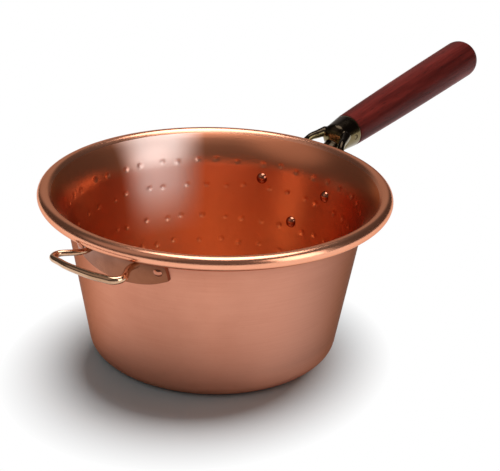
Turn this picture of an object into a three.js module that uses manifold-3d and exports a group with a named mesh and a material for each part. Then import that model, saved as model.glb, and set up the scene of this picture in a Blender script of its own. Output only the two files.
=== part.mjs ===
// A copper polenta pot with a long wooden handle and a short brass loop opposite it.
// Millimetres, +Z up. The origin is the centre of the base and the long handle points along +X.

import * as THREE from 'three';
import { mergeVertices } from 'three/addons/utils/BufferGeometryUtils.js';
import Module from 'manifold-3d';

// Pot body, one spun copper sheet with a rolled rim
const rimDiameter = 260;
const potHeight = 126;
const baseDiameter = 168;
const cornerRadius = 10;
const sheetThickness = 1.5;
const beadDiameter = 10.2;
const lipOverhang = 17.7;
const lipRise = degrees(20);
const neckRadius = 5.5;
const curlGap = 1.05;

// Clearance between pieces that touch on the real pot
const seatGap = 0.3;

// Rivets: copper, a domed head inside the pot and a flatter one outside, placed below the bead
const handleRivet = { shank: 2.5, innerHead: 4.5, innerRise: 2.8, outerHead: 4.2, outerRise: 1.8 };
const loopRivet = { shank: 2, innerHead: 3.6, innerRise: 1.6, outerHead: 3.8, outerRise: 2 };
const upperRivetDrop = 23.8;
const upperRivetSpread = degrees(16.7);
const lowerRivetDrop = 53.8;

// Bracket of the long handle, one brass casting
const flangeThickness = 3;
const flangeTopDrop = 9.8;
const flangeLobe = 9.5;
const flangeTopHalf = 23;
const earOpen = degrees(135);
const earClose = degrees(290);
const armHalfWidth = 2.1;
const armRootHalfWidth = 3.4;
const armRootAcross = 8;
const armRootRise = 5;
const armKneeReach = 16.5;
const armKneeAcross = 16;
const armKneeDrop = 7.6;
const armLegReach = 8;
const armLegAcross = 19.5;
const armLegDrop = 15;
const tongueHalfWidth = 6.8;
const tongueHalfHeight = 4.4;
const tongueRootDrop = 3;
const tongueNeckReach = 20;
const tongueNeckDrop = 15.5;
const tongueBendReach = 6;
const tongueBendDrop = 25;
const tongueFootRise = 17;
const socketReach = 50;
const socketDrop = 6.6;
const socketLength = 16.5;
const socketFrontRadius = 12.2;
const socketNose = 8;
const handleRise = degrees(5.7);

// Wooden grip with a tenon in the socket and a cross pin
const gripLength = 207;
const gripJointRadius = 13.9;
const gripButtRadius = 17.4;
const gripButtRound = 13;
const gripEdge = 1;
const gripSwellReach = 85;
const gripSwell = 2.6;
const tenonRadius = 8.2;
const tenonLength = 13;
const pinRadius = 1.8;
const pinInset = 7;

// Brass loop opposite the long handle, on a curved plate under the rim
const plateThickness = 2.4;
const plateEnd = 8.74;
const plateTopDrop = 2.8;
const plateEndDepth = 14.6;
const plateMiddleDepth = 22.6;
const plateCorner = 3;
const loopRivetOut = 13.42;
const loopRivetDrop = 10.4;
const loopDrop = 7.8;
const loopRootHalf = 20.5;
const loopLegRun = 6;
const loopCornerHalf = 28.8;
const loopCornerReach = 8;
const loopShoulderHalf = 18;
const loopShoulderSet = 1.5;
const loopReach = 14;
const loopLegRadius = 2.3;
const loopBarRadius = 3;
const loopSpigotRadius = 1.6;

// Facets
const roundSegments = 64;
const handleSegments = 36;
const smallSegments = 12;
const armSteps = 18;
const tongueSteps = 14;
const loopSteps = 36;
const noseSteps = 5;
const swellSteps = 6;
const curveSegments = 8;
const arcStep = degrees(30);
const weldDistance = 1e-4;

const wasm = await Module();
wasm.setup();

const up = new THREE.Vector3(0, 0, 1);
const alongX = new THREE.Vector3(1, 0, 0);
const latheAxis = new THREE.Vector3(0, 1, 0);

const copper = new THREE.MeshStandardMaterial({ color: 0xc07a5e, roughness: 0.3, metalness: 1 });
const rivetCopper = new THREE.MeshStandardMaterial({ color: 0xb96a48, roughness: 0.28, metalness: 1 });
const steelWire = new THREE.MeshStandardMaterial({ color: 0x8a8a88, roughness: 0.5, metalness: 1 });
const brass = new THREE.MeshStandardMaterial({ color: 0xb59a58, roughness: 0.22, metalness: 1 });
const loopBrass = new THREE.MeshStandardMaterial({ color: 0xa87a4c, roughness: 0.25, metalness: 1 });
const stainedWood = new THREE.MeshStandardMaterial({ color: 0x6a2420, roughness: 0.42, metalness: 0 });

function degrees(angle) {
  return THREE.MathUtils.degToRad(angle);
}

// Points on an arc in the profile plane, from one angle to another
function arc(centre, radius, from, to) {
  const steps = Math.max(2, Math.ceil(Math.abs(to - from) / arcStep));
  const points = [];
  for (let i = 0; i <= steps; i += 1) {
    const angle = from + ((to - from) * i) / steps;
    const spoke = new THREE.Vector2(Math.cos(angle), Math.sin(angle));
    points.push(centre.clone().addScaledVector(spoke, radius));
  }
  return points;
}

function point(radius, height) {
  return new THREE.Vector2(radius, height);
}

// A body turned about +Z from a profile that runs up its outside
function turned(profile, segments) {
  return new THREE.LatheGeometry(profile, segments).rotateX(Math.PI / 2);
}

// An outline in the Y Z plane, carried along X from one place to another
function cutAlongX(outline, from, to) {
  const prism = new THREE.ExtrudeGeometry(outline, { depth: to - from, bevelEnabled: false, curveSegments });
  const basis = new THREE.Matrix4().makeBasis(latheAxis, up, alongX);
  return prism.applyMatrix4(basis).translate(from, 0, 0);
}

// A closed bar along a curve, with an elliptical section that may change along the way
function sweptBar(curve, steps, halfWidth, halfHeight) {
  const sides = smallSegments;
  const positions = [];
  const faces = [];
  for (let i = 0; i <= steps; i += 1) {
    const u = i / steps;
    const centre = curve.getPointAt(u);
    const along = curve.getTangentAt(u);
    const across = new THREE.Vector3().crossVectors(up, along).normalize();
    const raise = new THREE.Vector3().crossVectors(along, across);
    for (let k = 0; k < sides; k += 1) {
      const angle = (2 * Math.PI * k) / sides;
      const rim = centre.clone().addScaledVector(across, Math.cos(angle) * halfWidth(u));
      rim.addScaledVector(raise, Math.sin(angle) * halfHeight(u));
      positions.push(rim.x, rim.y, rim.z);
    }
  }
  for (let i = 0; i < steps; i += 1) {
    for (let k = 0; k < sides; k += 1) {
      const next = (k + 1) % sides;
      const here = i * sides;
      const there = here + sides;
      faces.push(here + k, here + next, there + k);
      faces.push(here + next, there + next, there + k);
    }
  }
  const last = steps * sides;
  for (let k = 1; k < sides - 1; k += 1) {
    faces.push(0, k + 1, k);
    faces.push(last, last + k, last + k + 1);
  }
  const geometry = new THREE.BufferGeometry();
  geometry.setAttribute('position', new THREE.Float32BufferAttribute(positions, 3));
  geometry.setIndex(faces);
  return geometry;
}

// A closed geometry as a solid that can be joined and cut
function solid(geometry) {
  const bare = geometry.clone();
  bare.deleteAttribute('normal');
  bare.deleteAttribute('uv');
  const merged = mergeVertices(bare, weldDistance);
  const corners = merged.index.array;
  const triangles = [];
  for (let i = 0; i < corners.length; i += 3) {
    const [a, b, c] = corners.slice(i, i + 3);
    if (a !== b && b !== c && c !== a) {
      triangles.push(a, b, c);
    }
  }
  return new wasm.Manifold(new wasm.Mesh({
    numProp: 3,
    vertProperties: new Float32Array(merged.attributes.position.array),
    triVerts: new Uint32Array(triangles),
  }));
}

function geometryOf(body) {
  const mesh = body.getMesh();
  const geometry = new THREE.BufferGeometry();
  geometry.setAttribute('position', new THREE.BufferAttribute(new Float32Array(mesh.vertProperties), 3));
  geometry.setIndex(new THREE.BufferAttribute(new Uint32Array(mesh.triVerts), 1));
  geometry.computeVertexNormals();
  return geometry;
}

function cutAll(body, cutters) {
  return cutters.reduce((left, cutter) => left.subtract(cutter), body);
}

function named(name, geometry, material) {
  const mesh = new THREE.Mesh(geometry, material);
  mesh.name = name;
  return mesh;
}

// The wall is the straight line that leaves the base corner and passes below the rim
const rimRadius = rimDiameter / 2;
const baseRadius = baseDiameter / 2;
const beadRadius = beadDiameter / 2;
const beadCentre = point(rimRadius - beadRadius, potHeight - beadRadius);
const underBead = potHeight - beadDiameter;
const cornerCentre = point(baseRadius, cornerRadius);
const wallTop = point(rimRadius - lipOverhang, beadCentre.y);
const wallRun = wallTop.clone().sub(cornerCentre);
const wallTilt = Math.atan2(wallRun.x, wallRun.y) - Math.asin(cornerRadius / wallRun.length());
const wallNormal = point(Math.cos(wallTilt), -Math.sin(wallTilt));

function wallRadius(height) {
  return wallTop.x + (height - wallTop.y) * Math.tan(wallTilt);
}

// The lip leaves the wall in a small turn, rises outwards and rolls over into the bead
const lipAlong = point(Math.cos(lipRise), Math.sin(lipRise));
const lipNormal = point(-Math.sin(lipRise), Math.cos(lipRise));
const lipLine = beadCentre.clone().addScaledVector(lipNormal, beadRadius - neckRadius - sheetThickness);
const lipLength = (lipLine.clone().sub(wallTop).dot(wallNormal) - neckRadius) / wallNormal.dot(lipAlong);
const neckCentre = lipLine.clone().addScaledVector(lipAlong, -lipLength);
const lipAngle = Math.PI / 2 + lipRise;
const wallAngle = Math.PI - wallTilt;

// The roll stops short of the lip's underside by the gap
const curlOpen = Math.acos((beadRadius - sheetThickness - curlGap) / beadRadius);
const curlEnd = lipAngle + curlOpen - 2 * Math.PI;

function potProfile() {
  return [
    point(0, 0),
    ...arc(cornerCentre, cornerRadius, -Math.PI / 2, -wallTilt),
    ...arc(neckCentre, neckRadius, wallAngle, lipAngle),
    ...arc(beadCentre, beadRadius - sheetThickness, lipAngle, curlEnd),
    ...arc(beadCentre, beadRadius, curlEnd, lipAngle),
    ...arc(neckCentre, neckRadius + sheetThickness, lipAngle, wallAngle),
    ...arc(cornerCentre, cornerRadius - sheetThickness, -wallTilt, -Math.PI / 2),
    point(0, sheetThickness),
  ];
}

// A ring that follows the outside of the wall, from which both curved plates are cut
function wallRing(thickness, low, high) {
  const inner = (height) => wallRadius(height) + seatGap / Math.cos(wallTilt);
  const outer = (height) => inner(height) + thickness / Math.cos(wallTilt);
  return turned([
    point(inner(low), low),
    point(outer(low), low),
    point(outer(high), high),
    point(inner(high), high),
    point(inner(low), low),
  ], roundSegments);
}

// The place of a rivet: on the outside of the wall, square to it
function wallPlace(angle, height) {
  const outward = new THREE.Vector3(
    wallNormal.x * Math.cos(angle),
    wallNormal.x * Math.sin(angle),
    wallNormal.y,
  );
  const radius = wallRadius(height);
  const place = new THREE.Vector3(radius * Math.cos(angle), radius * Math.sin(angle), height);
  const turn = new THREE.Quaternion().setFromUnitVectors(latheAxis, outward);
  return new THREE.Matrix4().compose(place, turn, new THREE.Vector3(1, 1, 1));
}

function rivetGeometry(rivet, plate) {
  const inside = -sheetThickness - seatGap;
  const outside = plate + 2 * seatGap;
  const dome = (radius, rise, seat, side) => {
    const bulge = (radius * radius + rise * rise) / (2 * rise);
    const centre = point(0, seat + side * (rise - bulge));
    const halfTurn = Math.asin(radius / bulge);
    const start = side * (Math.PI / 2);
    const rim = start - side * halfTurn;
    return side < 0 ? arc(centre, bulge, start, rim) : arc(centre, bulge, rim, start);
  };
  return new THREE.LatheGeometry([
    ...dome(rivet.innerHead, rivet.innerRise, inside, -1),
    point(rivet.shank, inside),
    point(rivet.shank, outside),
    ...dome(rivet.outerHead, rivet.outerRise, outside, 1),
  ], smallSegments);
}

function rivetHole(rivet, plate, place) {
  const radius = rivet.shank + seatGap;
  const reach = 4 * (plate + sheetThickness);
  const drill = new THREE.CylinderGeometry(radius, radius, reach, smallSegments);
  return solid(drill.applyMatrix4(place));
}

// Where the rivets go through
const upperRivetHeight = underBead - upperRivetDrop;
const lowerRivetHeight = underBead - lowerRivetDrop;
const loopRivetHeight = underBead - loopRivetDrop;
const loopRivetAcross = loopRootHalf + loopRivetOut;
const loopRivetAngle = Math.asin(loopRivetAcross / wallRadius(loopRivetHeight));
const rivets = [
  ['handle_rivet_left', handleRivet, flangeThickness, wallPlace(upperRivetSpread, upperRivetHeight)],
  ['handle_rivet_right', handleRivet, flangeThickness, wallPlace(-upperRivetSpread, upperRivetHeight)],
  ['handle_rivet_lower', handleRivet, flangeThickness, wallPlace(0, lowerRivetHeight)],
  ['loop_rivet_left', loopRivet, plateThickness, wallPlace(Math.PI - loopRivetAngle, loopRivetHeight)],
  ['loop_rivet_right', loopRivet, plateThickness, wallPlace(Math.PI + loopRivetAngle, loopRivetHeight)],
];
const rivetHoles = rivets.map(([, rivet, plate, place]) => rivetHole(rivet, plate, place));

// The long handle's own axis: its origin is the joint of socket and wood, its Y runs out to the butt
const handleAxis = new THREE.Group();
const handleAlong = new THREE.Vector3(Math.cos(handleRise), 0, Math.sin(handleRise));
handleAxis.position.set(rimRadius + socketReach, 0, potHeight - socketDrop);
handleAxis.quaternion.setFromUnitVectors(latheAxis, handleAlong);
handleAxis.updateMatrix();

function alongHandle(distance) {
  return handleAxis.position.clone().addScaledVector(handleAlong, distance);
}

function pinGeometry(radius, length) {
  return new THREE.CylinderGeometry(radius, radius, length, smallSegments);
}

// The pin lies level across the socket, with a hole for it through socket and tenon
const pinPlace = new THREE.Matrix4().setPosition(alongHandle(-pinInset));
const socketTaper = (gripJointRadius - socketFrontRadius) / socketLength;
const pinLength = 2 * (gripJointRadius - socketTaper * pinInset) - 2 * seatGap;
const pinHole = solid(pinGeometry(pinRadius + seatGap, 4 * gripJointRadius).applyMatrix4(pinPlace));

// The socket: a cone, closed at the pot's end by a round nose
function socketGeometry() {
  const nose = new THREE.EllipseCurve(0, -socketLength, socketFrontRadius, socketNose, -Math.PI / 2, 0);
  return new THREE.LatheGeometry([
    ...nose.getPoints(noseSteps),
    point(gripJointRadius, 0),
    point(0, 0),
  ], handleSegments).applyMatrix4(handleAxis.matrix);
}

// The bore for the tenon, carried on past the socket's mouth
function tenonRoom() {
  const radius = tenonRadius + seatGap;
  const depth = tenonLength + 2 * seatGap;
  const room = new THREE.CylinderGeometry(radius, radius, 2 * depth, handleSegments);
  return room.applyMatrix4(handleAxis.matrix);
}

// Where the prongs leave the socket: in the solid end behind the bore
const prongRoot = alongHandle(-tenonLength - 0.5 * socketNose);
const flangeTop = underBead - flangeTopDrop;
const armFootHeight = flangeTop - armRootHalfWidth;

// A place outside the rim: reach beyond it, distance aside, drop below its top
function besideRim(reach, aside, drop) {
  return new THREE.Vector3(rimRadius + reach, aside, potHeight - drop);
}

// A side arm: from the socket's flank, round the outside of the bead, down to an ear of the flange
function armGeometry(side) {
  const root = new THREE.Vector3(prongRoot.x, side * armRootAcross, prongRoot.z + armRootRise);
  const knee = besideRim(armKneeReach, side * armKneeAcross, armKneeDrop);
  const leg = besideRim(armLegReach, side * armLegAcross, armLegDrop);
  const foot = new THREE.Vector3(wallRadius(armFootHeight), side * flangeTopHalf, armFootHeight);
  const shoulder = root.clone().lerp(knee, 0.5);
  const shin = leg.clone().lerp(foot, 0.5);
  const curve = new THREE.CatmullRomCurve3([root, shoulder, knee, leg, shin, foot], false, 'centripetal');
  const thickness = (u) => armHalfWidth + (armRootHalfWidth - armHalfWidth) * (2 * u - 1) ** 2;
  return sweptBar(curve, armSteps, thickness, thickness);
}

// The middle tongue: from under the socket's nose down to the flange, above its lower rivet
function tongueGeometry() {
  const footHeight = lowerRivetHeight + tongueFootRise;
  const curve = new THREE.CatmullRomCurve3([
    new THREE.Vector3(prongRoot.x, 0, prongRoot.z - tongueRootDrop),
    besideRim(tongueNeckReach, 0, tongueNeckDrop),
    besideRim(tongueBendReach, 0, tongueBendDrop),
    new THREE.Vector3(wallRadius(footHeight), 0, footHeight),
  ], false, 'centripetal');
  return sweptBar(curve, tongueSteps, () => tongueHalfWidth, () => tongueHalfHeight);
}

// The flange: a shield with an ear at each upper rivet and a lobe at the lower one
function flangeOutline() {
  const earAcross = wallRadius(upperRivetHeight) * Math.sin(upperRivetSpread);
  const waistAcross = earAcross - flangeLobe * Math.cos(earClose);
  const waistHeight = upperRivetHeight + flangeLobe * Math.sin(earClose);
  const mirrored = (angle) => 3 * Math.PI - angle;
  const outline = new THREE.Shape();
  outline.moveTo(-flangeTopHalf, flangeTop);
  outline.absarc(-earAcross, upperRivetHeight, flangeLobe, earOpen, earClose, false);
  outline.quadraticCurveTo(-flangeLobe, lowerRivetHeight + flangeLobe, -flangeLobe, lowerRivetHeight);
  outline.absarc(0, lowerRivetHeight, flangeLobe, Math.PI, 2 * Math.PI, false);
  outline.quadraticCurveTo(flangeLobe, lowerRivetHeight + flangeLobe, waistAcross, waistHeight);
  outline.absarc(earAcross, upperRivetHeight, flangeLobe, mirrored(earClose), mirrored(earOpen), false);
  outline.lineTo(flangeTopHalf, flangeTop);
  return outline;
}

// What the bracket may not enter: the pot inside the plates' seat
function potCore() {
  const reach = (height) => wallRadius(height) + seatGap / Math.cos(wallTilt);
  return turned([
    point(0, cornerRadius),
    point(reach(cornerRadius), cornerRadius),
    point(reach(underBead), underBead),
    point(0, underBead),
  ], roundSegments);
}

function bracketGeometry() {
  const low = lowerRivetHeight - 2 * flangeLobe;
  const ring = solid(wallRing(flangeThickness, low, flangeTop));
  const flange = ring.intersect(solid(cutAlongX(flangeOutline(), 0, rimRadius)));
  const socket = solid(socketGeometry());
  const arms = solid(armGeometry(1)).add(solid(armGeometry(-1)));
  const casting = flange.add(socket).add(arms).add(solid(tongueGeometry()));
  const cutters = [solid(potCore()), solid(tenonRoom()), ...rivetHoles, pinHole];
  return geometryOf(cutAll(casting, cutters));
}

// The grip swells from the socket towards its blunt round butt
function gripGeometry() {
  const shoulder = seatGap;
  const buttCentre = point(gripButtRadius - gripButtRound, gripLength - gripButtRound);
  const swell = new THREE.QuadraticBezierCurve(
    point(gripJointRadius, shoulder + gripEdge),
    point(gripJointRadius + gripSwell, gripSwellReach),
    point(gripButtRadius, gripLength - gripButtRound),
  );
  const wood = new THREE.LatheGeometry([
    point(0, -tenonLength),
    point(tenonRadius, -tenonLength),
    point(tenonRadius, shoulder),
    point(gripJointRadius - gripEdge, shoulder),
    ...swell.getPoints(swellSteps),
    ...arc(buttCentre, gripButtRound, 0, Math.PI / 2).slice(1),
    point(0, gripLength),
  ], handleSegments).applyMatrix4(handleAxis.matrix);
  return geometryOf(solid(wood).subtract(pinHole));
}

// The loop's plate: level top, square ends with round corners, deepest in the middle
const plateTop = underBead - plateTopDrop;
const loopHeight = underBead - loopDrop;

function plateOutline() {
  const half = loopRivetAcross + plateEnd;
  const endLow = plateTop - plateEndDepth;
  const middleLow = plateTop - plateMiddleDepth;
  const outline = new THREE.Shape();
  outline.moveTo(half - plateCorner, plateTop);
  outline.lineTo(plateCorner - half, plateTop);
  outline.absarc(plateCorner - half, plateTop - plateCorner, plateCorner, Math.PI / 2, Math.PI, false);
  outline.absarc(plateCorner - half, endLow + plateCorner, plateCorner, Math.PI, 1.5 * Math.PI, false);
  outline.quadraticCurveTo(-0.5 * half, middleLow, 0, middleLow);
  outline.quadraticCurveTo(0.5 * half, middleLow, half - plateCorner, endLow);
  outline.absarc(half - plateCorner, endLow + plateCorner, plateCorner, 1.5 * Math.PI, 2 * Math.PI, false);
  outline.absarc(half - plateCorner, plateTop - plateCorner, plateCorner, 0, Math.PI / 2, false);
  return outline;
}

// The outer face of the plate where a leg of the loop stands on it
const plateFace = wallRadius(loopHeight) + (seatGap + plateThickness) / Math.cos(wallTilt);
const legFoot = Math.sqrt(plateFace ** 2 - loopRootHalf ** 2);

function spigot(radius, side) {
  const inner = legFoot - plateThickness;
  const outer = legFoot + loopLegRun;
  const length = outer - inner;
  const rod = new THREE.CylinderGeometry(radius, radius, length, smallSegments).rotateZ(Math.PI / 2);
  return solid(rod.translate(-0.5 * (inner + outer), side * loopRootHalf, loopHeight));
}

function plateGeometry() {
  const ring = solid(wallRing(plateThickness, plateTop - 2 * plateMiddleDepth, plateTop));
  const plate = ring.intersect(solid(cutAlongX(plateOutline(), -rimRadius, 0)));
  const legHoles = [-1, 1].map((side) => spigot(loopSpigotRadius + seatGap, side));
  return geometryOf(cutAll(plate, [...rivetHoles, ...legHoles]));
}

// The loop: a level bar, thickest in the middle, with its legs let into the plate
function loopGeometry() {
  const bar = rimRadius + loopReach;
  const corner = rimRadius + loopCornerReach;
  const foot = legFoot + 2 * seatGap;
  const at = (reach, across) => new THREE.Vector3(-reach, across, loopHeight);
  const half = (side) => [
    at(foot, side * loopRootHalf),
    at(foot + loopLegRun, side * loopRootHalf),
    at(corner, side * loopCornerHalf),
    at(bar - loopShoulderSet, side * loopShoulderHalf),
  ];
  const route = [...half(-1), at(bar, 0), ...half(1).reverse()];
  const curve = new THREE.CatmullRomCurve3(route, false, 'centripetal');
  const thickness = (u) => loopLegRadius + (loopBarRadius - loopLegRadius) * Math.sin(Math.PI * u);
  const rod = solid(sweptBar(curve, loopSteps, thickness, thickness));
  return geometryOf(rod.add(spigot(loopSpigotRadius, -1)).add(spigot(loopSpigotRadius, 1)));
}

const pot = new THREE.Group();
const spun = solid(turned(potProfile(), roundSegments));
pot.add(named('pot_body', geometryOf(cutAll(spun, rivetHoles)), copper));

const wireRadius = beadRadius - sheetThickness - seatGap;
const wire = new THREE.TorusGeometry(beadCentre.x, wireRadius, smallSegments / 2, roundSegments);
pot.add(named('rim_wire', wire.translate(0, 0, beadCentre.y), steelWire));

pot.add(named('handle_bracket', bracketGeometry(), brass));
pot.add(named('wood_grip', gripGeometry(), stainedWood));
pot.add(named('grip_pin', pinGeometry(pinRadius, pinLength).applyMatrix4(pinPlace), brass));
pot.add(named('loop_plate', plateGeometry(), loopBrass));
pot.add(named('loop_handle', loopGeometry(), loopBrass));

for (const [name, rivet, plate, place] of rivets) {
  const mesh = named(name, rivetGeometry(rivet, plate), rivetCopper);
  mesh.applyMatrix4(place);
  pot.add(mesh);
}

export default pot;
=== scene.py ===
import math

import bpy
import numpy as np
from mathutils import Matrix, Vector


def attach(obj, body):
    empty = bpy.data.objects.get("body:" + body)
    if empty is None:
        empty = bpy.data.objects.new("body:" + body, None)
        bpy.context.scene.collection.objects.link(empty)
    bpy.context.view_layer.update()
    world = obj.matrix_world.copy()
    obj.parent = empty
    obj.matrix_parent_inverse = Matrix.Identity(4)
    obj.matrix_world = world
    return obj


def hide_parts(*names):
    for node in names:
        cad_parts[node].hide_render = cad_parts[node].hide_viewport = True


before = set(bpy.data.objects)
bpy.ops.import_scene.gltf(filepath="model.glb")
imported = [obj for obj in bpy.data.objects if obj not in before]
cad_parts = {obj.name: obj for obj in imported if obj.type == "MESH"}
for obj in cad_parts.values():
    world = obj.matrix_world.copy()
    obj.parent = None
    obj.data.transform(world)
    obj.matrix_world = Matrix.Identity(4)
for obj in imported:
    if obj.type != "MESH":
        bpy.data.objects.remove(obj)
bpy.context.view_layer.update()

bpy.context.scene.view_settings.view_transform = "Standard"


# Pot body: one disc of copper sheet, spun on a lathe into a flared bowl with a flat base, its lip turned
# out and rolled into a bead. Four rings of small dents are punched into the wall from inside. The outside
# is brushed, the inside keeps its turning marks and the bead is burnished bright.
rim_radius = 0.130
pot_height = 0.126
base_radius = 0.084
corner_radius = 0.010
sheet = 0.0015
bead_radius = 0.0051
lip_overhang = 0.0177
lip_rise = math.radians(43.5)
neck_radius = 0.043
curl_gap = 0.00105
pot_segments = 540
weld = 2e-6

bead_centre = Vector((rim_radius - bead_radius, pot_height - bead_radius))
corner_centre = Vector((base_radius, corner_radius))
wall_top = Vector((rim_radius - lip_overhang, bead_centre.y))
wall_run = wall_top - corner_centre
wall_tilt = math.atan2(wall_run.x, wall_run.y) - math.asin(corner_radius / wall_run.length)
wall_normal = Vector((math.cos(wall_tilt), -math.sin(wall_tilt)))
lip_along = Vector((math.cos(lip_rise), math.sin(lip_rise)))
lip_normal = Vector((-math.sin(lip_rise), math.cos(lip_rise)))
lip_line = bead_centre + lip_normal * (bead_radius - neck_radius - sheet)
lip_length = ((lip_line - wall_top).dot(wall_normal) - neck_radius) / wall_normal.dot(lip_along)
neck_centre = lip_line - lip_along * lip_length
lip_angle = math.pi / 2 + lip_rise
wall_angle = math.pi - wall_tilt
curl_end = lip_angle + math.acos((bead_radius - sheet - curl_gap) / bead_radius) - math.tau
neck_low = neck_centre.y + neck_radius * math.sin(wall_angle)
level_sheet = sheet / math.cos(wall_tilt)


def wall_radius(height):
    """Radius of the wall's outside: a plain cone, and above it the curved flare under the bead."""
    cone = wall_top.x + (height - wall_top.y) * math.tan(wall_tilt)
    flare = neck_centre.x - np.sqrt(np.maximum(neck_radius ** 2 - (height - neck_centre.y) ** 2, 0))
    return np.where(height > neck_low, flare, cone)[()]


def wall_slope(height):
    """How far the wall leans out from upright."""
    if height > neck_low:
        return math.asin((height - neck_centre.y) / neck_radius)
    return wall_tilt


def arc(centre, radius, start, end, steps):
    angles = np.linspace(start, end, steps + 1)
    return [centre + radius * Vector((math.cos(a), math.sin(a))) for a in angles]


def between(start, end, steps):
    return [start.lerp(end, i / steps) for i in range(1, steps)]


def chosen(*pieces):
    bpy.ops.object.select_all(action="DESELECT")
    for piece in pieces:
        piece.select_set(True)
    bpy.context.view_layer.objects.active = pieces[0]


def modified(piece, kind, **settings):
    chosen(piece)
    modifier = piece.modifiers.new(kind.lower(), kind)
    for name, value in settings.items():
        setattr(modifier, name, value)
    bpy.ops.object.modifier_apply(modifier=modifier.name)


def drawn_line(places):
    """A line of points, drawn by extruding the first one from place to place."""
    bpy.ops.object.select_all(action="DESELECT")
    bpy.ops.mesh.primitive_plane_add(size=0.001)
    bpy.ops.object.mode_set(mode="EDIT")
    bpy.ops.mesh.select_mode(type="VERT")
    bpy.ops.mesh.select_all(action="SELECT")
    bpy.ops.mesh.merge(type="CENTER")
    bpy.ops.transform.translate(value=places[0])
    for here, there in zip(places, places[1:]):
        bpy.ops.mesh.extrude_region_move(TRANSFORM_OT_translate={"value": there - here})
    bpy.ops.object.mode_set(mode="OBJECT")
    return bpy.context.object


def welded(piece):
    """Merges doubled points and turns every face outwards."""
    chosen(piece)
    bpy.ops.object.mode_set(mode="EDIT")
    bpy.ops.mesh.select_all(action="SELECT")
    bpy.ops.mesh.remove_doubles(threshold=weld)
    bpy.ops.mesh.normals_make_consistent(inside=False)
    bpy.ops.object.mode_set(mode="OBJECT")


def spun(name, outline, steps, origin=Vector(), along=Vector((0, 0, 1)), side=Vector((1, 0, 0))):
    """A closed body turned about an axis, from an outline of distances from it and heights along it."""
    piece = drawn_line([Vector((out, 0, height)) for out, height in outline])
    piece.name = piece.data.name = name
    modified(piece, "SCREW", steps=steps, render_steps=steps, use_merge_vertices=True, merge_threshold=weld)
    welded(piece)
    turned = Matrix((side, along.cross(side), along)).transposed().to_4x4()
    piece.data.transform(Matrix.Translation(origin) @ turned)
    return piece


def smoothed(piece, angle):
    chosen(piece)
    bpy.ops.object.shade_smooth_by_angle(angle=math.radians(angle))


def vertex_places(piece):
    flat = np.empty(3 * len(piece.data.vertices))
    piece.data.vertices.foreach_get("co", flat)
    return flat.reshape(-1, 3)


def face_centres(piece):
    flat = np.empty(3 * len(piece.data.polygons))
    piece.data.polygons.foreach_get("center", flat)
    return flat.reshape(-1, 3)


outer_low, *outer_corner, outer_high = arc(corner_centre, corner_radius, -math.pi / 2, -wall_tilt, 7)
inner_high, *inner_corner, inner_low = arc(corner_centre, corner_radius - sheet, -wall_tilt, -math.pi / 2, 7)
under_neck = arc(neck_centre, neck_radius, wall_angle, lip_angle, 12)
over_neck = arc(neck_centre, neck_radius + sheet, lip_angle, wall_angle, 34)
base_middle = Vector((0, 0))
floor_middle = Vector((0, sheet))

# The wall inside has close rows of faces where the four rings of dents are
dent_rows = (0.104, 0.084, 0.058, 0.038)
dent_margin = 0.0062
close_step = 0.0008
open_step = 0.0026
lowest_row = inner_high.y + 0.004
inner_wall = [over_neck[-1]]
while inner_wall[-1].y > lowest_row:
    height = inner_wall[-1].y
    from_dents = min(abs(height - row) for row in dent_rows)
    height -= close_step if from_dents < dent_margin else open_step
    inner_wall.append(Vector((wall_radius(height) - level_sheet, height)))
pot = spun("pot_body_copper", [
    base_middle,
    *between(base_middle, outer_low, 3), outer_low,
    *outer_corner, outer_high,
    *between(outer_high, under_neck[0], 12),
    *under_neck,
    *arc(bead_centre, bead_radius - sheet, lip_angle, curl_end, 7),
    *arc(bead_centre, bead_radius, curl_end, lip_angle, 26),
    *over_neck,
    *inner_wall[1:],
    inner_high, *inner_corner, inner_low,
    *between(inner_low, floor_middle, 3),
    floor_middle,
], pot_segments)

# The dents, each with its own turn about the pot, height and radius
dent_pitch = 0.017
dent_radius = 0.0026
dent_depth = 0.00055
turn_scatter = 0.24
height_scatter = 0.0013
size_scatter = (0.85, 1.2)
draw = np.random.default_rng(26)
dents = []
for row_height in dent_rows:
    count = round(math.tau * wall_radius(row_height) / dent_pitch)
    pitches = np.arange(count) + draw.uniform(-turn_scatter, turn_scatter, count) + draw.uniform()
    turns = pitches * math.tau / count
    heights = row_height + draw.uniform(-height_scatter, height_scatter, count)
    dents += zip(turns, heights, dent_radius * draw.uniform(*size_scatter, count))

# The rivets go through the wall at these turns and heights: three for the long handle, two for the loop
handle_rivet_places = [(math.radians(16.7), 0.092), (math.radians(-16.7), 0.092), (0.0, 0.062)]
loop_rivet_height = 0.1054
loop_rivet_across = 0.03392
loop_rivet_turn = math.asin(loop_rivet_across / wall_radius(loop_rivet_height))
loop_rivet_places = [(math.pi + side * loop_rivet_turn, loop_rivet_height) for side in (-1, 1)]


def distance_on_wall(places, turn, height):
    apart = (np.arctan2(places[:, 1], places[:, 0]) - turn + math.pi) % math.tau - math.pi
    return np.hypot(apart * wall_radius(height), (places[:, 2] - height) / math.cos(wall_tilt))


places = vertex_places(pot)
radii = np.hypot(places[:, 0], places[:, 1])
inner_radii = wall_radius(places[:, 2]) - level_sheet
on_inner_wall = (np.abs(radii - inner_radii) < 0.2 * sheet) & (places[:, 2] > inner_high.y)
on_inner_wall &= places[:, 2] < over_neck[0].y
push = np.zeros(len(places))
for turn, height, radius in dents:
    reach = np.clip(distance_on_wall(places, turn, height) / radius, 0, 1)
    push = np.maximum(push, dent_depth * (1 - reach ** 2) ** 2)
push *= on_inner_wall
outward = places[:, :2] / np.maximum(radii, weld)[:, None]
places[:, :2] += outward * (push * wall_normal.x)[:, None]
places[:, 2] += push * wall_normal.y
pot.data.vertices.foreach_set("co", places.ravel())
pot.data.update()


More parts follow.
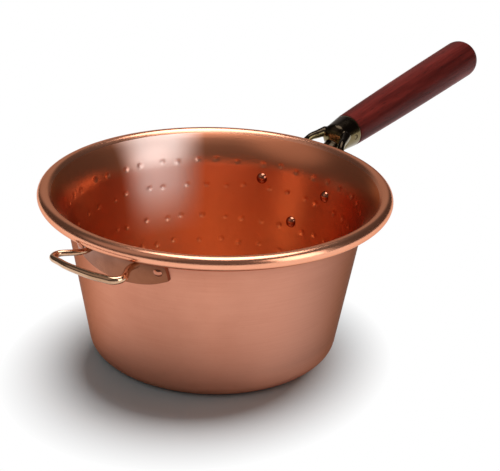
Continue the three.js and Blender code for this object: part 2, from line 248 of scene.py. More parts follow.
def wall_place(turn, height):
    """The frame of a rivet: on the outside of the wall, its Z square to it."""
    slope = wall_slope(height)
    radius = wall_radius(height)
    outward = Vector((math.cos(slope) * math.cos(turn), math.cos(slope) * math.sin(turn), -math.sin(slope)))
    spot = Vector((radius * math.cos(turn), radius * math.sin(turn), height))
    return Matrix.Translation(spot) @ outward.to_track_quat("Z", "Y").to_matrix().to_4x4()


def drill(radius, length, sides, place):
    bpy.ops.object.select_all(action="DESELECT")
    bpy.ops.mesh.primitive_cylinder_add(vertices=sides, radius=radius, depth=length)
    bpy.context.object.data.transform(place)
    return bpy.context.object


def drilled(piece, drills, solver="EXACT"):
    for cutter in drills:
        modified(piece, "BOOLEAN", object=cutter, operation="DIFFERENCE", solver=solver)


rivet_gap = 0.0003
handle_shank = 0.0025
loop_shank = 0.002
drill_length = 0.016
drills = [
    drill(shank + rivet_gap, drill_length, 24, wall_place(turn, height))
    for shank, rivet_places in ((handle_shank, handle_rivet_places), (loop_shank, loop_rivet_places))
    for turn, height in rivet_places
]
drilled(pot, drills, "FAST")


def place_node(tree, kind, inputs=None, **settings):
    node = tree.nodes.new(kind)
    for name, value in settings.items():
        setattr(node, name, value)
    for socket, value in (inputs or {}).items():
        if isinstance(value, bpy.types.NodeSocket):
            tree.links.new(value, node.inputs[socket])
        else:
            node.inputs[socket].default_value = value
    return node


def sum_of(tree, operation, *terms):
    return place_node(tree, "ShaderNodeMath", dict(enumerate(terms)), operation=operation).outputs[0]


def spread(tree, value, low, high, to_low=0.0, to_high=1.0):
    node = place_node(tree, "ShaderNodeMapRange", {
        "Value": value, "From Min": low, "From Max": high, "To Min": to_low, "To Max": to_high,
    })
    return node.outputs["Result"]


def mixed(tree, share, first, second):
    node = place_node(tree, "ShaderNodeMix", {0: share, 6: first, 7: second}, data_type="RGBA")
    return node.outputs[2]


def object_place(tree):
    return place_node(tree, "ShaderNodeTexCoord").outputs["Object"]


def along_line(tree, place, line):
    node = place_node(tree, "ShaderNodeVectorMath", {0: place, 1: line}, operation="DOT_PRODUCT")
    return node.outputs["Value"]


def noise(tree, vector, scale, detail, roughness=0.5):
    node = place_node(tree, "ShaderNodeTexNoise", {
        "Vector": vector, "Scale": scale, "Detail": detail, "Roughness": roughness,
    })
    return node.outputs["Fac"]


def new_group(name, inputs, outputs):
    group = bpy.data.node_groups.new(name, "ShaderNodeTree")
    for label, value in inputs.items():
        kind = "NodeSocketFloat" if isinstance(value, float) else "NodeSocketColor"
        group.interface.new_socket(label, in_out="INPUT", socket_type=kind).default_value = value
    for label, kind in outputs.items():
        group.interface.new_socket(label, in_out="OUTPUT", socket_type=kind)
    return group, group.nodes.new("NodeGroupInput").outputs, group.nodes.new("NodeGroupOutput").inputs


# The fine rings that a turning tool or a brush leaves round the pot's axis
turning, turning_in, turning_out = new_group(
    "turning_marks", {"Rings": 1500.0, "Length": 6.0}, {"Mark": "NodeSocketFloat"})
off_axis = 1e-4
apart = place_node(turning, "ShaderNodeSeparateXYZ", {0: object_place(turning)}).outputs
x_squared = sum_of(turning, "MULTIPLY", apart[0], apart[0])
y_squared = sum_of(turning, "MULTIPLY", apart[1], apart[1])
radius = sum_of(turning, "SQRT", sum_of(turning, "ADD", x_squared, y_squared))
round_x = sum_of(turning, "DIVIDE", apart[0], sum_of(turning, "ADD", radius, off_axis))
round_y = sum_of(turning, "DIVIDE", apart[1], sum_of(turning, "ADD", radius, off_axis))
ring = sum_of(turning, "MULTIPLY", sum_of(turning, "ADD", radius, apart[2]), turning_in["Rings"])
spiral = place_node(turning, "ShaderNodeCombineXYZ", {
    0: sum_of(turning, "MULTIPLY", round_x, turning_in["Length"]),
    1: sum_of(turning, "MULTIPLY", round_y, turning_in["Length"]),
    2: ring,
}).outputs[0]
turning.links.new(noise(turning, spiral, 1.0, 2.0, 0.55), turning_out["Mark"])

# Cloudy marks of handling and heat, and the fine specks of a metal that has been used
handling, handling_in, handling_out = new_group(
    "handling_marks", {"Clouds": 22.0, "Specks": 420.0},
    {"Cloud": "NodeSocketFloat", "Speck": "NodeSocketFloat"})
place = object_place(handling)
cloud = noise(handling, place, handling_in["Clouds"], 4.0, 0.6)
handling.links.new(spread(handling, cloud, 0.32, 0.68), handling_out["Cloud"])
speck = noise(handling, place, handling_in["Specks"], 2.0)
handling.links.new(spread(handling, speck, 0.6, 0.75), handling_out["Speck"])


def new_material(name):
    material = bpy.data.materials.new(name)
    material.use_nodes = True
    shader = material.node_tree.nodes["Principled BSDF"]
    return material, material.node_tree, shader


def grouped(tree, group, **values):
    node = place_node(tree, "ShaderNodeGroup", node_tree=group)
    for name, value in values.items():
        node.inputs[name].default_value = value
    return node.outputs


def dulled_by(tree, wear, clouds, specks):
    """How dull the metal is at each spot, from its clouds and its specks."""
    return sum_of(tree, "ADD", sum_of(tree, "MULTIPLY", wear["Cloud"], clouds),
                  sum_of(tree, "MULTIPLY", wear["Speck"], specks))


def spun_copper(name, bright, dull, roughness, mark_depth, ring_relief, rings, anisotropy, edge_tint):
    """Copper turned on the lathe: rings in its gloss and relief, and clouds of duller colour."""
    material, tree, shader = new_material(name)
    marks = grouped(tree, turning, Rings=rings, Length=3.0)["Mark"]
    wear = grouped(tree, handling, Clouds=16.0, Specks=500.0)
    dulled = dulled_by(tree, wear, clouds=0.55, specks=0.25)
    tree.links.new(mixed(tree, dulled, bright, dull), shader.inputs["Base Color"])
    gloss = spread(tree, marks, 0.3, 0.7, (1 - mark_depth) * roughness, (1 + mark_depth) * roughness)
    gloss = sum_of(tree, "ADD", gloss, sum_of(tree, "MULTIPLY", wear["Cloud"], mark_depth * roughness))
    tree.links.new(gloss, shader.inputs["Roughness"])
    if ring_relief:
        relief = place_node(tree, "ShaderNodeBump", {"Strength": 1.0, "Distance": ring_relief, "Height": marks})
        tree.links.new(relief.outputs[0], shader.inputs["Normal"])
    tangent = place_node(tree, "ShaderNodeTangent", direction_type="RADIAL", axis="Z")
    tree.links.new(tangent.outputs[0], shader.inputs["Tangent"])
    shader.inputs["Metallic"].default_value = 1.0
    shader.inputs["Specular Tint"].default_value = edge_tint
    shader.inputs["Anisotropic"].default_value = anisotropy
    shader.inputs["Anisotropic Rotation"].default_value = 0.25
    return material, tree, shader


def height_on_pot(tree):
    return place_node(tree, "ShaderNodeSeparateXYZ", {0: object_place(tree)}).outputs[2]


def turned_toward(tree, turn, outer, inner):
    """A share that is full on one side of the pot's axis and fades out with the turn about it."""
    place = object_place(tree)
    level = place_node(tree, "ShaderNodeVectorMath", {0: place, 1: (1, 1, 0)}, operation="MULTIPLY")
    outward = place_node(tree, "ShaderNodeVectorMath", {0: level.outputs["Vector"]}, operation="NORMALIZE")
    toward = (math.cos(math.radians(turn)), math.sin(math.radians(turn)), 0)
    faces = along_line(tree, outward.outputs["Vector"], toward)
    return spread(tree, faces, math.cos(math.radians(outer)), math.cos(math.radians(inner)))


def overlaid(tree, shader, share, colour, rubbed=0.0):
    """Lays another colour over a material where the share is high, and makes it rougher there."""
    tone = shader.inputs["Base Color"].links[0].from_socket
    tree.links.new(mixed(tree, share, tone, colour), shader.inputs["Base Color"])
    if rubbed:
        gloss = shader.inputs["Roughness"].links[0].from_socket
        gloss = sum_of(tree, "ADD", gloss, sum_of(tree, "MULTIPLY", share, rubbed))
        tree.links.new(gloss, shader.inputs["Roughness"])


# Inside, the copper gets redder towards the rim and has a pale patch on one side, a painted highlight of the
# tall lamp's streak down the wall, made rougher there too; stirring has worn its floor dull
copper_inside, tree, shader = spun_copper(
    "copper_turned_inside", bright=(0.95, 0.45, 0.22, 1), dull=(0.87, 0.35, 0.16, 1), roughness=0.3,
    mark_depth=0.04, ring_relief=0, rings=500.0, anisotropy=0.45, edge_tint=(0.72, 0.42, 0.3, 1))
overlaid(tree, shader, spread(tree, height_on_pot(tree), 0.05, 0.112), colour=(0.78, 0.285, 0.15, 1))
# Painted highlight: pale copper where the tall lamp's streak runs down the inner wall
painted_streak_highlight = sum_of(tree, "MULTIPLY", turned_toward(tree, turn=62, outer=20, inner=7),
                 spread(tree, height_on_pot(tree), 0.045, 0.085))
overlaid(tree, shader, painted_streak_highlight, colour=(0.97, 0.74, 0.67, 1), rubbed=0.19)
pot_floor = spread(tree, height_on_pot(tree), 0.003, 0.012, 1.0, 0.0)
overlaid(tree, shader, pot_floor, colour=(0.66, 0.29, 0.17, 1), rubbed=0.26)

copper_bead, *_ = spun_copper(
    "copper_burnished_bead", bright=(0.93, 0.43, 0.27, 1), dull=(0.86, 0.34, 0.2, 1), roughness=0.24,
    mark_depth=0.04, ring_relief=0, rings=700.0, anisotropy=0.2, edge_tint=(0.8, 0.6, 0.5, 1))

# Outside, the side by the long handle is painted darker and greyer, a painted shade for the dimmer light that side
# reflects
copper_outside, tree, shader = spun_copper(
    "copper_brushed_outside", bright=(0.81, 0.357, 0.236, 1), dull=(0.73, 0.29, 0.18, 1), roughness=0.42,
    mark_depth=0.15, ring_relief=0.00001, rings=1100.0, anisotropy=0.6, edge_tint=(0.25, 0.22, 0.2, 1))
# Painted shade: darker, greyer copper on the side by the long handle
painted_shade_side = sum_of(tree, "MULTIPLY", turned_toward(tree, turn=-65, outer=78, inner=14),
                  spread(tree, height_on_pot(tree), 0.001, 0.02))
overlaid(tree, shader, painted_shade_side, colour=(0.48, 0.23, 0.165, 1))

bead_margin = 0.0005
for material in (copper_inside, copper_bead, copper_outside):
    pot.data.materials.append(material)
centres = face_centres(pot)
radii = np.hypot(centres[:, 0], centres[:, 1])
from_bead = np.hypot(radii - bead_centre.x, centres[:, 2] - bead_centre.y)
facing = np.empty(3 * len(centres))
pot.data.polygons.foreach_get("normal", facing)
facing = facing.reshape(-1, 3)
outside = (facing[:, :2] * centres[:, :2]).sum(axis=1) > facing[:, 2] * radii
pot.data.polygons.foreach_set("material_index", np.select(
    [from_bead < bead_radius + bead_margin, outside], [1, 2], 0).astype(np.int32))
smoothed(pot, 50)


def joined_up(piece, node):
    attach(piece, "root")
    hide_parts(node)


joined_up(pot, "pot_body")


# Rim wire: plain drawn steel wire that the lip is rolled round. Only its underside shows, through the
# narrow gap that the roll leaves, so the solid stays and gets its drawn finish.
wire_steel, tree, shader = new_material("drawn_steel_wire")
wear = grouped(tree, handling, Clouds=60.0, Specks=900.0)
tone = mixed(tree, wear["Cloud"], (0.32, 0.32, 0.31, 1), (0.16, 0.13, 0.11, 1))
tree.links.new(tone, shader.inputs["Base Color"])
tree.links.new(spread(tree, wear["Speck"], 0, 1, 0.4, 0.62), shader.inputs["Roughness"])
shader.inputs["Metallic"].default_value = 1.0
wire_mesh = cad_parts["rim_wire"].data
wire_mesh.materials.clear()
wire_mesh.materials.append(wire_steel)


# Bracket: one brass casting, a shield-shaped flange against the wall, two round arms that pass outside the
# rim, a broad middle tongue and the socket of the long handle. Cast in sand, so every corner is filleted,
# then filed and polished.
seat_gap = 0.0003
ring_segments = 360
under_bead = pot_height - 2 * bead_radius
flange_thickness = 0.003
flange_top = 0.106
flange_top_half = 0.023
flange_lobe = 0.0095
ear_open = math.radians(135)
ear_close = math.radians(290)
upper_rivet_height = handle_rivet_places[0][1]
lower_rivet_height = handle_rivet_places[2][1]
ear_across = wall_radius(upper_rivet_height) * math.sin(handle_rivet_places[0][0])

joint = Vector((0.180, 0, 0.1194))
handle_rise = math.radians(5.7)
handle_along = Vector((math.cos(handle_rise), 0, math.sin(handle_rise)))
handle_side = Vector((0, 1, 0))
socket_length = 0.0165
socket_front = 0.0122
socket_nose = 0.008
joint_radius = 0.0139
tenon_radius = 0.0082
tenon_length = 0.013


def quadratic(start, control, end, steps):
    shares = np.linspace(0, 1, steps + 1)
    return [(1 - t) ** 2 * start + 2 * t * (1 - t) * control + t ** 2 * end for t in shares]


def on_wall(heights, out):
    """An outline that runs up the wall at a distance outside it."""
    return [Vector((wall_radius(height) + out / math.cos(wall_slope(height)), height)) for height in heights]


def wall_plate(name, outline, inner, thickness, side):
    """A plate bent round the wall: its outline is carried along X and kept where a ring on the wall is."""
    heights = [height for _, height in outline]
    margin = 0.002
    rows = np.linspace(min(heights) - margin, max(heights) + margin, 9)
    face = on_wall(rows, seat_gap + thickness)
    back = on_wall(rows, inner)
    plate = spun(name, [back[0], *face, *reversed(back)], ring_segments)
    cutter = drawn_line([Vector((0, across, height)) for across, height in outline])
    bpy.ops.object.mode_set(mode="EDIT")
    bpy.ops.mesh.select_all(action="SELECT")
    bpy.ops.mesh.remove_doubles(threshold=weld)
    bpy.ops.mesh.edge_face_add()
    bpy.ops.mesh.extrude_region_move(TRANSFORM_OT_translate={"value": (side * rim_radius, 0, 0)})
    bpy.ops.mesh.select_all(action="SELECT")
    bpy.ops.mesh.normals_make_consistent(inside=False)
    bpy.ops.object.mode_set(mode="OBJECT")
    modified(plate, "BOOLEAN", object=cutter, operation="INTERSECT", solver="EXACT")
    bpy.data.objects.remove(cutter)
    return plate


ear_middle = Vector((ear_across, upper_rivet_height))
waist = ear_middle + flange_lobe * Vector((-math.cos(ear_close), math.sin(ear_close)))
right_half = [
    Vector((flange_top_half, flange_top)),
    *arc(ear_middle, flange_lobe, math.pi - ear_open, math.pi - ear_close, 24),
    *quadratic(waist, Vector((flange_lobe, lower_rivet_height + flange_lobe)),
               Vector((flange_lobe, lower_rivet_height)), 14)[1:],
    *arc(Vector((0, lower_rivet_height)), flange_lobe, 0, -math.pi / 2, 12)[1:],
]
left_half = [Vector((-across, height)) for across, height in reversed(right_half)][1:]
into_wall = -0.001
bracket = wall_plate(
    "handle_bracket_brass", right_half + left_half + right_half[:1], into_wall, flange_thickness, 1)


def bar(name, places, half_widths, section=None):
    """A bar along a smooth curve, round or with a drawn section, with its own thickness at each place."""
    bpy.ops.object.select_all(action="DESELECT")
    bpy.ops.curve.primitive_bezier_curve_add()
    piece = bpy.context.object
    piece.name = name
    curve = piece.data
    curve.resolution_u = 10
    curve.twist_mode = "Z_UP"
    curve.use_fill_caps = True
    points = curve.splines[0].bezier_points
    points.add(len(places) - len(points))
    for point, place, half_width in zip(points, places, half_widths):
        point.co = place
        point.handle_left_type = point.handle_right_type = "AUTO"
        point.radius = half_width
    if section:
        curve.bevel_mode = "OBJECT"
        curve.bevel_object = section
    else:
        curve.bevel_depth = 1.0
        curve.bevel_resolution = 8
    bpy.ops.object.convert(target="MESH")
    piece = bpy.context.object
    welded(piece)
    return piece


prong_root = joint - handle_along * (tenon_length + 0.5 * socket_nose)
arm_foot_height = flange_top - 0.0034
prongs = []
for side in (1, -1):
    root = Vector((prong_root.x, side * 0.0098, prong_root.z + 0.0042))
    knee = Vector((0.1468, side * 0.0155, 0.119))
    leg = Vector((0.138, side * 0.0195, 0.111))
    foot = Vector((wall_radius(arm_foot_height), side * flange_top_half, arm_foot_height))
    arm_places = [root, root.lerp(knee, 0.5), knee, leg, leg.lerp(foot, 0.5), foot]
    arm_half_widths = [0.0042, 0.0036, 0.003, 0.0027, 0.0028, 0.0036]
    prongs.append(bar("arm", arm_places, arm_half_widths))

tongue_half_width = 0.0068
tongue_half_height = 0.0044
bpy.ops.object.select_all(action="DESELECT")
bpy.ops.curve.primitive_bezier_circle_add(radius=1.0)
tongue_section = bpy.context.object
tongue_section.scale = (tongue_half_width, tongue_half_height, 1)
bpy.ops.object.transform_apply(location=False, rotation=False, scale=True)
tongue_foot = lower_rivet_height + 0.017
prongs.append(bar("tongue", [
    Vector((prong_root.x, 0, prong_root.z - 0.003)),
    Vector((0.150, 0, 0.1105)),
    Vector((0.136, 0, 0.101)),
    Vector((wall_radius(tongue_foot), 0, tongue_foot)),
], [1.0, 1.0, 1.0, 1.0], tongue_section))
bpy.data.objects.remove(tongue_section)

nose = [Vector((socket_front * math.sin(a), -socket_length - socket_nose * math.cos(a)))
        for a in np.linspace(0, math.pi / 2, 13)]
bore = tenon_radius + seat_gap
bore_end = -tenon_length - 2 * seat_gap
socket = spun("socket", [
    *nose, *between(nose[-1], Vector((joint_radius, 0)), 8), Vector((joint_radius, 0)),
    Vector((bore, 0)), Vector((bore, bore_end)), Vector((0, bore_end)),
], 96, joint, handle_along, handle_side)
chosen(bracket, socket, *prongs)
bpy.ops.object.join()
casting_grain = 0.00055
modified(bracket, "REMESH", mode="VOXEL", voxel_size=casting_grain)
modified(bracket, "SMOOTH", factor=0.5, iterations=14)

core = spun("core", [
    Vector((0, corner_radius)),
    *on_wall(np.linspace(corner_radius, under_bead, 24), seat_gap),
    Vector((0, under_bead)),
], ring_segments)
pin_radius = 0.0018
pin_inset = 0.007
pin_place = joint - handle_along * pin_inset
across_handle = Matrix.Translation(pin_place) @ Matrix.Rotation(math.pi / 2, 4, "X")
pin_drill = drill(pin_radius + seat_gap, 4 * joint_radius, 32, across_handle)
drilled(bracket, [core, pin_drill, *drills[:3]])
bpy.data.objects.remove(core)


def cleaned(piece):
    """Merges the slivers that cutting leaves on a skin, and splits its bent and hollow faces."""
    sliver = 1e-5
    chosen(piece)
    bpy.ops.object.mode_set(mode="EDIT")
    bpy.ops.mesh.select_all(action="SELECT")
    bpy.ops.mesh.remove_doubles(threshold=sliver)
    bpy.ops.mesh.dissolve_degenerate(threshold=sliver)
    bpy.ops.mesh.vert_connect_concave()
    bpy.ops.mesh.vert_connect_nonplanar(angle_limit=math.radians(1))
    bpy.ops.mesh.dissolve_degenerate(threshold=sliver)
    bpy.ops.object.mode_set(mode="OBJECT")


cleaned(bracket)


def polished(name, bright, dull, roughness, scratch_scale, scratch_relief):
    """Polished cast or drawn metal: clouds of duller colour, specks and the fine scratches of a buffing wheel."""
    material, tree, shader = new_material(name)
    wear = grouped(tree, handling, Clouds=45.0, Specks=700.0)
    dulled = dulled_by(tree, wear, clouds=0.7, specks=0.3)
    tree.links.new(mixed(tree, dulled, bright, dull), shader.inputs["Base Color"])
    gloss = sum_of(tree, "ADD", sum_of(tree, "MULTIPLY", wear["Cloud"], 0.5 * roughness), 0.7 * roughness)
    gloss = sum_of(tree, "ADD", gloss, sum_of(tree, "MULTIPLY", wear["Speck"], 0.4 * roughness))
    tree.links.new(gloss, shader.inputs["Roughness"])
    scratches = noise(tree, object_place(tree), scratch_scale, 3.0, 0.6)
    relief = place_node(tree, "ShaderNodeBump", {"Strength": 1.0, "Distance": scratch_relief, "Height": scratches})
    tree.links.new(relief.outputs[0], shader.inputs["Normal"])
    shader.inputs["Metallic"].default_value = 1.0
    return material, tree, shader


# The casting's upward-facing top is painted near-black, a painted dark reflection of the dark room above it, but
# for the bright edge of the socket
bracket_brass, tree, shader = polished(
    "cast_brass_polished", bright=(0.22, 0.17, 0.08, 1), dull=(0.13, 0.095, 0.042, 1), roughness=0.2,
    scratch_scale=160.0, scratch_relief=0.00006)
facing_way = place_node(tree, "ShaderNodeTexCoord").outputs["Normal"]
up = place_node(tree, "ShaderNodeSeparateXYZ", {0: facing_way}).outputs[2]
from_joint = sum_of(tree, "SUBTRACT", along_line(tree, object_place(tree), handle_along), joint.dot(handle_along))
# Painted dark reflection: near-black on faces that look up, stopping short of the socket's edge at the grip
painted_dark_top = sum_of(tree, "MULTIPLY", spread(tree, up, 0.28, 0.5),
                 spread(tree, from_joint, -0.0022, -0.0012, 1.0, 0.0))
overlaid(tree, shader, painted_dark_top, colour=(0.035, 0.025, 0.016, 1))
bracket.data.materials.clear()
bracket.data.materials.append(bracket_brass)
smoothed(bracket, 40)
joined_up(bracket, "handle_bracket")


# Rivets: solid copper, set by hand through wall and plate, with a round head inside the pot and a flatter
# one outside. Three larger ones hold the bracket and two smaller ones the loop's plate.
def rivet_outline(shank, inner_head, inner_rise, outer_head, outer_rise, plate):
    inside = -sheet - seat_gap
    outside = plate + 2 * seat_gap

    def dome(head, rise, seat, face):
        bulge = (head * head + rise * rise) / (2 * rise)
        half_turn = math.asin(head / bulge)
        centre = seat + face * (rise - bulge)
        turns = np.linspace(0, half_turn, 9)
        return [Vector((bulge * math.sin(t), centre + face * bulge * math.cos(t))) for t in turns]

    return [
        *dome(inner_head, inner_rise, inside, -1), Vector((shank, inside)),
        Vector((shank, outside)), *reversed(dome(outer_head, outer_rise, outside, 1)),
    ]


rivet_copper, *_ = polished(
    "rivet_copper_hammered", bright=(0.6, 0.23, 0.14, 1), dull=(0.4, 0.14, 0.08, 1), roughness=0.2,
    scratch_scale=90.0, scratch_relief=0.00025)
plate_thickness = 0.0024
rivet_segments = 40
handle_rivet = spun("handle_rivet_model", rivet_outline(
    handle_shank, inner_head=0.0045, inner_rise=0.0028, outer_head=0.0042, outer_rise=0.0018,
    plate=flange_thickness), rivet_segments)
loop_rivet = spun("loop_rivet_model", rivet_outline(
    loop_shank, inner_head=0.0036, inner_rise=0.0016, outer_head=0.0032, outer_rise=0.0016,
    plate=plate_thickness), rivet_segments)
rivet_nodes = [
    ("handle_rivet_left", handle_rivet, handle_rivet_places[0]),
    ("handle_rivet_right", handle_rivet, handle_rivet_places[1]),
    ("handle_rivet_lower", handle_rivet, handle_rivet_places[2]),
    ("loop_rivet_left", loop_rivet, loop_rivet_places[0]),
    ("loop_rivet_right", loop_rivet, loop_rivet_places[1]),
]
for node, model, (turn, height) in rivet_nodes:
    rivet = model.copy()
    rivet.data = model.data.copy()
    rivet.name = rivet.data.name = node + "_copper"
    bpy.context.collection.objects.link(rivet)
    rivet.data.transform(wall_place(turn, height))
    rivet.data.materials.append(rivet_copper)
    smoothed(rivet, 50)
    joined_up(rivet, node)
for model in (handle_rivet, loop_rivet):
    bpy.data.objects.remove(model)


# Wooden grip: hardwood turned on a lathe, swelling to a blunt round butt, with a tenon let into the
# socket. Stained red-brown and varnished; the grain runs along it.
grip_length = 0.207
butt_radius = 0.0174
butt_round = 0.013
grip_edge = 0.001
butt_centre = Vector((butt_radius - butt_round, grip_length - butt_round))
swell = quadratic(
    Vector((joint_radius, seat_gap + grip_edge)),
    Vector((joint_radius + 0.0026, 0.085)),
    Vector((butt_radius, grip_length - butt_round)), 36)
edge_centre = Vector((joint_radius - grip_edge, seat_gap + grip_edge))
grip = spun("wood_grip_turned", [
    Vector((0, -tenon_length)), Vector((tenon_radius, -tenon_length)), Vector((tenon_radius, seat_gap)),
    *arc(edge_centre, grip_edge, -math.pi / 2, 0, 5), *swell[1:],
    *arc(butt_centre, butt_round, 0, math.pi / 2, 18)[1:],
    *between(Vector((butt_centre.x, grip_length)), Vector((0, grip_length)), 4), Vector((0, grip_length)),
], 96, joint, handle_along, handle_side)
drilled(grip, [pin_drill])

wood, tree, shader = new_material("stained_hardwood")
dark_stain = (0.105, 0.0105, 0.0085, 1)
light_stain = (0.37, 0.047, 0.036, 1)
band_stain = (0.05, 0.008, 0.007, 1)
pore_stain = (0.018, 0.005, 0.004, 1)
from_joint = place_node(tree, "ShaderNodeMapping", {"Vector": object_place(tree), "Location": -joint})
along_grip = place_node(tree, "ShaderNodeMapping", {
    "Vector": from_joint.outputs[0], "Rotation": (0, handle_rise, 0)})


def grain(along, across, detail, roughness):
    """Noise that is drawn out along the grip."""
    stretched = place_node(tree, "ShaderNodeMapping", {
        "Vector": along_grip.outputs[0], "Scale": (along, across, across)})
    return noise(tree, stretched.outputs[0], 1.0, detail, roughness)


streaks = grain(along=7.0, across=130.0, detail=6.0, roughness=0.62)
bands = grain(along=3.0, across=38.0, detail=3.0, roughness=0.5)
pores = spread(tree, grain(along=90.0, across=1500.0, detail=2.0, roughness=0.5), 0.6, 0.72)
tone = mixed(tree, spread(tree, streaks, 0.34, 0.66), dark_stain, light_stain)
tone = mixed(tree, spread(tree, bands, 0.4, 0.7, 0.0, 0.55), tone, band_stain)
tone = mixed(tree, sum_of(tree, "MULTIPLY", pores, 0.7), tone, pore_stain)
tree.links.new(tone, shader.inputs["Base Color"])
tree.links.new(spread(tree, streaks, 0.3, 0.7, 0.5, 0.36), shader.inputs["Roughness"])
grain_height = sum_of(tree, "SUBTRACT", streaks, sum_of(tree, "MULTIPLY", pores, 0.8))
relief = place_node(tree, "ShaderNodeBump", {"Strength": 1.0, "Distance": 0.00012, "Height": grain_height})
tree.links.new(relief.outputs[0], shader.inputs["Normal"])
shader.inputs["Specular IOR Level"].default_value = 0.06
shader.inputs["Coat Weight"].default_value = 0.015
shader.inputs["Coat Roughness"].default_value = 0.2
grip.data.materials.append(wood)
smoothed(grip, 40)
joined_up(grip, "wood_grip")


# Cross pin: a short brass rod that is driven through socket and tenon, so that the grip can't turn or
# pull out, and is then filed flush on both sides.
pin_half = joint_radius - (joint_radius - socket_front) / socket_length * pin_inset - seat_gap
pin_edge = 0.0003
pin = spun("grip_pin_brass", [
    Vector((0, -pin_half)), Vector((pin_radius - pin_edge, -pin_half)), Vector((pin_radius, pin_edge - pin_half)),
    Vector((pin_radius, pin_half - pin_edge)), Vector((pin_radius - pin_edge, pin_half)), Vector((0, pin_half)),
], 32, pin_place, Vector((0, 1, 0)), Vector((1, 0, 0)))
pin.data.materials.append(bracket_brass)
smoothed(pin, 30)
joined_up(pin, "grip_pin")
bpy.data.objects.remove(pin_drill)


# Loop plate: brass plate bent round the wall under the rim, with square ends and a belly in the middle,
# its edges eased with a file and its face left satin.
plate_top = 0.113
plate_end_low = 0.0976
plate_middle_low = 0.0904
plate_corner = 0.0018
plate_half = loop_rivet_across + 0.0066
corner_across = plate_half - plate_corner
belly_across = 0.62 * plate_half
plate_right = [
    Vector((0, plate_top)),
    *arc(Vector((corner_across, plate_top - plate_corner)), plate_corner, math.pi / 2, 0, 8),
    *arc(Vector((corner_across, plate_end_low + plate_corner)), plate_corner, 0, -math.pi / 2, 8),
    *quadratic(Vector((corner_across, plate_end_low)), Vector((belly_across, plate_middle_low)),
               Vector((0, plate_middle_low)), 20)[1:],
]
plate_left = [Vector((-across, height)) for across, height in reversed(plate_right)][1:]
plate = wall_plate("loop_plate_brass", plate_right + plate_left, seat_gap, plate_thickness, -1)
plate_edge = 0.0005
modified(plate, "BEVEL", width=plate_edge, segments=3, limit_method="ANGLE", angle_limit=math.radians(50))
drilled(plate, drills[3:])
cleaned(plate)
plate_brass, *_ = polished(
    "satin_brass_plate", bright=(0.33, 0.125, 0.066, 1), dull=(0.22, 0.075, 0.036, 1), roughness=0.34,
    scratch_scale=300.0, scratch_relief=0.00003)
plate.data.materials.clear()
plate.data.materials.append(plate_brass)
smoothed(plate, 40)
joined_up(plate, "loop_plate")
for cutter in drills:
    bpy.data.objects.remove(cutter)


# Loop: a brass rod bent to a short level bail, thickest in the middle, its two legs let into the plate
# and brazed there.
loop_height = 0.108
loop_root = 0.0205
loop_lean = 0.0022
plate_face = on_wall([loop_height], seat_gap + plate_thickness)[0].x
leg_foot = math.sqrt(plate_face ** 2 - loop_root ** 2)
right_leg = [
    Vector((-leg_foot + 0.0008, loop_root, loop_height)),
    Vector((-leg_foot - 0.0066, loop_root, loop_height)),
    Vector((-0.138, 0.0288, loop_height)),
    Vector((-0.1425, 0.018, loop_height)),
]
left_leg = [Vector((x, -y, z)) for x, y, z in right_leg]
loop_places = [*left_leg, Vector((-0.144, 0, loop_height)), *reversed(right_leg)]
for place in loop_places[2:-2]:
    place.y += loop_lean
loop_half_widths = [0.0023, 0.0023, 0.0027, 0.0028, 0.0027, 0.0025, 0.0023, 0.0021, 0.0021]
loop = bar("loop_handle_brass", loop_places, loop_half_widths)
loop_brass, *_ = polished(
    "drawn_brass_loop", bright=(0.72, 0.47, 0.31, 1), dull=(0.42, 0.23, 0.13, 1), roughness=0.17,
    scratch_scale=220.0, scratch_relief=0.00004)
loop.data.materials.clear()
loop.data.materials.append(loop_brass)
smoothed(loop, 50)
joined_up(loop, "loop_handle")


# Studio: a white floor that glows white away from the pot and runs out to a white surround, a large round lamp
# overhead, which throws the shadow towards the viewer, and a tall lamp at the right that only shows as a streak in
# the copper.
bpy.ops.object.select_all(action="DESELECT")
bpy.ops.mesh.primitive_circle_add(vertices=96, radius=5.0, fill_type="NGON", location=(0, 0, -0.0003))
floor = bpy.context.object
floor.name = "studio_floor"
bpy.ops.object.transform_apply(location=True, rotation=False, scale=False)
floor_white, tree, shader = new_material("studio_floor_white")
paths = place_node(tree, "ShaderNodeLightPath").outputs
seen = sum_of(tree, "MAXIMUM", sum_of(tree, "MAXIMUM", paths["Is Camera Ray"], paths["Is Glossy Ray"]),
              paths["Is Transmission Ray"])
# Painted light: for the camera and in reflections the floor glows white from 9 to 16 cm round a point off the pot,
# so the lamps' shadow fades out there and the long handle's shadow is hidden
shadow_middle = (-0.032, -0.014, 0)
shadow_shape = (1, 1.15, 1)
place = place_node(
    tree, "ShaderNodeVectorMath", {0: object_place(tree), 1: shadow_shape}, operation="MULTIPLY").outputs["Vector"]
away = place_node(tree, "ShaderNodeVectorMath", {0: place, 1: shadow_middle}, operation="DISTANCE").outputs["Value"]
white = sum_of(tree, "MULTIPLY", spread(tree, away, 0.09, 0.158), seen)
tree.links.new(white, shader.inputs["Emission Strength"])
shader.inputs["Emission Color"].default_value = (1, 1, 1, 1)
# Near the pot the floor is tinted blue, a painted correction that turns the pink light the copper throws into the
# shadow grey
from_pot = place_node(tree, "ShaderNodeVectorMath", {0: place}, operation="LENGTH").outputs["Value"]
paper = mixed(tree, spread(tree, from_pot, 0.1, 0.15), (0.62, 0.86, 0.98, 1), (0.86, 0.92, 0.95, 1))
tree.links.new(mixed(tree, white, paper, (0, 0, 0, 1)), shader.inputs["Base Color"])
shader.inputs["Roughness"].default_value = 1.0
shader.inputs["Specular IOR Level"].default_value = 0.0
floor.data.materials.append(floor_white)

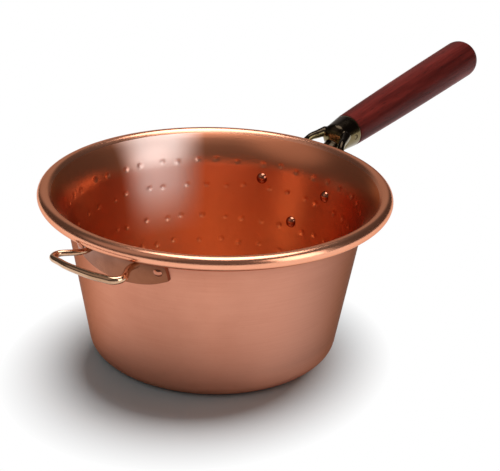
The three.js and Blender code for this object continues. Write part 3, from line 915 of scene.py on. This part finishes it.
world = bpy.data.worlds.new("studio_surround")
bpy.context.scene.world = world
world.use_nodes = True
tree = world.node_tree
direction = place_node(tree, "ShaderNodeTexCoord").outputs["Generated"]
window = (-0.646, -0.487, 0.588)
side_window = (-0.612, 0.354, 0.707)
wall_behind = (0.699, 0.652, 0.292)
level = spread(tree, along_line(tree, direction, window), 0.78, 0.97, 0.075, 0.13)
for pale_side, edge, full, brightness in ((side_window, 0.86, 0.96, 0.34), (wall_behind, 0.86, 0.95, 0.31)):
    seen_there = spread(tree, along_line(tree, direction, pale_side), edge, full, 0.0, brightness)
    level = sum_of(tree, "ADD", level, seen_there)
background = tree.nodes["Background"]
tree.links.new(level, background.inputs["Strength"])
background.inputs["Color"].default_value = (1, 0.88, 0.82, 1)


lamp_target = Vector((0, 0, 0.08))


def softbox(name, azimuth, elevation, distance, width, depth, watts):
    azimuth = math.radians(azimuth)
    elevation = math.radians(elevation)
    toward = Vector((
        math.cos(elevation) * math.cos(azimuth), math.cos(elevation) * math.sin(azimuth), math.sin(elevation)))
    bpy.ops.object.light_add(type="AREA", location=lamp_target + toward * distance)
    lamp = bpy.context.object
    lamp.name = name
    lamp.rotation_euler = toward.to_track_quat("Z", "Y").to_euler()
    lamp.data.shape = "ELLIPSE" if width == depth else "RECTANGLE"
    lamp.data.size = width
    lamp.data.size_y = depth
    lamp.data.energy = watts
    return lamp


softbox("lamp_above", azimuth=17, elevation=80, distance=2.0, width=1.5, depth=1.5, watts=25.0)
strip = softbox("lamp_front_right", azimuth=-91, elevation=22, distance=1.3, width=0.66, depth=1.0, watts=5.5)
strip.visible_diffuse = False

# Camera: where the photographer stood, in front on the loop's side and a little above the rim
camera_place = Vector((-0.706108, -0.535965, 0.48199))
camera_forward = Vector((0.743118, 0.530257, -0.408171)).normalized()
camera_roll = math.radians(1.97)
level_right = camera_forward.cross(Vector((0, 0, 1))).normalized()
level_up = level_right.cross(camera_forward)
camera_right = math.cos(camera_roll) * level_right + math.sin(camera_roll) * level_up
camera_up = math.cos(camera_roll) * level_up - math.sin(camera_roll) * level_right
bpy.ops.object.camera_add()
camera = bpy.context.object
camera.matrix_world = Matrix.Translation(camera_place) @ Matrix(
    (camera_right, camera_up, -camera_forward)).transposed().to_4x4()
camera.data.sensor_fit = "HORIZONTAL"
camera.data.sensor_width = 36.0
camera.data.lens = 93.79
bpy.context.scene.camera = camera

bpy.ops.object.select_all(action="DESELECT")
